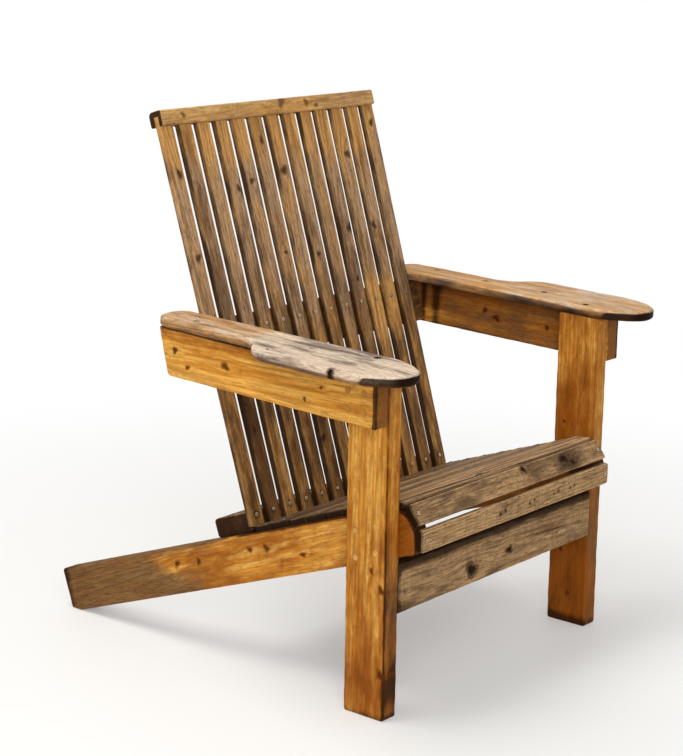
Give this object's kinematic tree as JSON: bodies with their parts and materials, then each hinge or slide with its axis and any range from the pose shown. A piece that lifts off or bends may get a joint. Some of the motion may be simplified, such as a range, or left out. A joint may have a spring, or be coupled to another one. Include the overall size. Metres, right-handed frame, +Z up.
{
  "type": "slatted deck chair",
  "caption": "Low wooden deck chair: reclined slatted back under a cap, slatted seat curling over at the front, wide round-nosed armrests, and seat rails running back to the floor as rear legs.",
  "frame": {"origin": "on the floor under the middle of the chair's bounding box", "axes": "+Z up, -Y the way the sitter faces, +X to the sitter's left"},
  "size_m": [0.876, 0.9284, 1.0175],
  "materials": {
    "frame_pine": "old clear varnish, worn, over honey-coloured pine",
    "rest_pine": "weathered pine with most of the varnish gone",
    "seat_pine": "weathered grey-brown pine",
    "back_pine": "brown stained pine, thin varnish",
    "cap_pine": "tan pine, thin varnish",
    "dowel_wood": "pale end grain, sanded flush",
    "screw_steel": "dull zinc, a little rusted"
  },
  "bodies": {
    "root": {"leg_left": "frame_pine", "leg_right": "frame_pine", "arm_board_left": "frame_pine", "arm_board_right": "frame_pine", "armrest_left": "rest_pine", "armrest_right": "rest_pine", "stringer_left": "frame_pine", "stringer_right": "frame_pine", "front_apron": "seat_pine", "seat_slat_01": "seat_pine", "seat_slat_02": "seat_pine", "seat_slat_03": "seat_pine", "seat_slat_04": "seat_pine", "seat_slat_05": "seat_pine", "seat_slat_06": "seat_pine", "seat_slat_07": "seat_pine", "seat_slat_08": "seat_pine", "seat_slat_09": "seat_pine", "seat_slat_10": "seat_pine", "back_slat_01": "back_pine", "back_slat_02": "back_pine", "back_slat_03": "back_pine", "back_slat_04": "back_pine", "back_slat_05": "back_pine", "back_slat_06": "back_pine", "back_slat_07": "back_pine", "back_slat_08": "back_pine", "back_slat_09": "back_pine", "back_slat_10": "back_pine", "back_slat_11": "back_pine", "back_slat_12": "back_pine", "back_slat_13": "back_pine", "mid_rail": "back_pine", "low_rail": "back_pine", "top_cap": "cap_pine", "mid_rail_screws": "screw_steel", "low_rail_screws": "screw_steel", "seat_screws": "screw_steel", "armrest_screws": "screw_steel", "leg_dowels": "dowel_wood", "arm_front_dowels": "dowel_wood", "arm_rear_dowels": "dowel_wood", "apron_dowels": "dowel_wood", "low_rail_dowels": "dowel_wood"}
  },
  "joints": []
}
